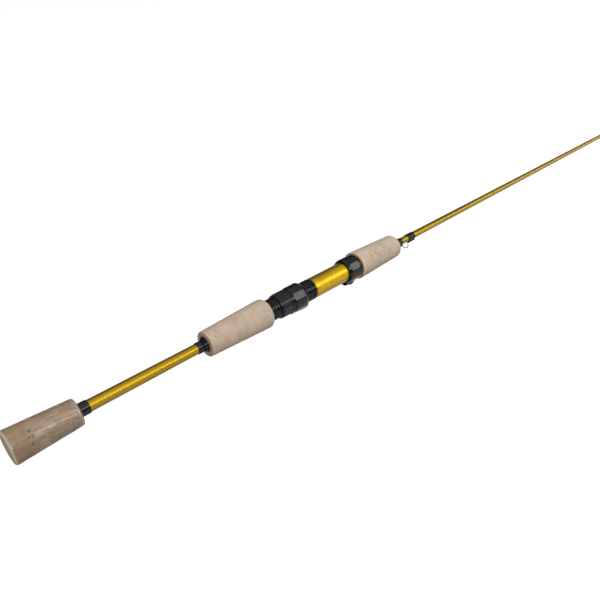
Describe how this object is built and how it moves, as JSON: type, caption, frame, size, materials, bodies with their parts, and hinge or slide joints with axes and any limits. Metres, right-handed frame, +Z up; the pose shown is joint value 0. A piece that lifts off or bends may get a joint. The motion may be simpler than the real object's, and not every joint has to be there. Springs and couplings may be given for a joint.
{
  "type": "crappie rod",
  "caption": "Two-piece light spinning rod with split cork grips, a threaded reel seat, a hook keeper and line guides hanging under a tapered blank.",
  "frame": {"origin": "centre of the flat end face of the butt grip", "axes": "+X along the rod from the butt to the tip, +Z up with the reel seat's bed and the guides facing -Z"},
  "size_m": [1.9809, 0.0288, 0.0416],
  "materials": {
    "gold_blank": "gold metallic varnish over a fibre blank",
    "gold_sleeve": "gold anodised",
    "cork": "bare sanded cork",
    "butt_cork": "sanded cork under clear film",
    "clear_film": "clear shrunk film",
    "black_thread": "black thread under clear varnish",
    "black_plastic": "semi-gloss moulded",
    "arbor_paper": "wound paper",
    "polished_steel": "dark polished",
    "dark_ceramic": "polished dark ceramic"
  },
  "bodies": {
    "butt_section": {"butt_blank": "gold_blank", "rear_grip": "butt_cork", "butt_grip_film": "clear_film", "butt_grip_winding": "black_thread", "mid_grip_winding": "black_thread", "winding_check": "black_plastic", "mid_grip": "cork", "rear_arbor": "arbor_paper", "middle_arbor": "arbor_paper", "front_arbor": "arbor_paper", "reel_seat_body": "black_plastic", "reel_seat_sleeve": "gold_sleeve", "fixed_hood": "black_plastic", "fore_grip": "cork", "keeper_rear_winding": "black_thread", "hook_keeper": "polished_steel", "keeper_front_winding": "black_thread"},
    "sliding_hood": {"sliding_hood": "black_plastic"},
    "lock_nut": {"lock_nut": "black_plastic"},
    "tip_section": {"tip_blank": "gold_blank", "ferrule_winding": "black_thread", "stripper_guide_frame": "polished_steel", "stripper_guide_ring": "dark_ceramic", "stripper_guide_rear_winding": "black_thread", "stripper_guide_front_winding": "black_thread", "second_guide_frame": "polished_steel", "second_guide_ring": "dark_ceramic", "second_guide_rear_winding": "black_thread", "second_guide_front_winding": "black_thread", "third_guide_frame": "polished_steel", "third_guide_ring": "dark_ceramic", "third_guide_winding": "black_thread", "fourth_guide_frame": "polished_steel", "fourth_guide_ring": "dark_ceramic", "fourth_guide_winding": "black_thread", "fifth_guide_frame": "polished_steel", "fifth_guide_ring": "dark_ceramic", "fifth_guide_winding": "black_thread", "sixth_guide_frame": "polished_steel", "sixth_guide_ring": "dark_ceramic", "sixth_guide_winding": "black_thread", "tip_top_frame": "polished_steel", "tip_top_ring": "dark_ceramic", "tip_top_winding": "black_thread"}
  },
  "joints": [
    {"name": "hood_slide", "type": "slide", "parent": "butt_section", "child": "sliding_hood", "axis": [1, 0, 0], "range_m": [-0.0111, 0.028]},
    {"name": "nut_turn", "type": "hinge", "parent": "sliding_hood", "child": "lock_nut", "pos_m": [0.251, 0, 0], "axis": [1, 0, 0], "range_deg": [-1206, 3024]},
    {"name": "ferrule_slide", "type": "slide", "parent": "butt_section", "child": "tip_section", "axis": [1, 0, 0], "range_m": [0, 0.06]}
  ],
  "couplings": [
    {"joint": "hood_slide", "follows": "nut_turn", "m_per_rad": 0.00052521}
  ]
}
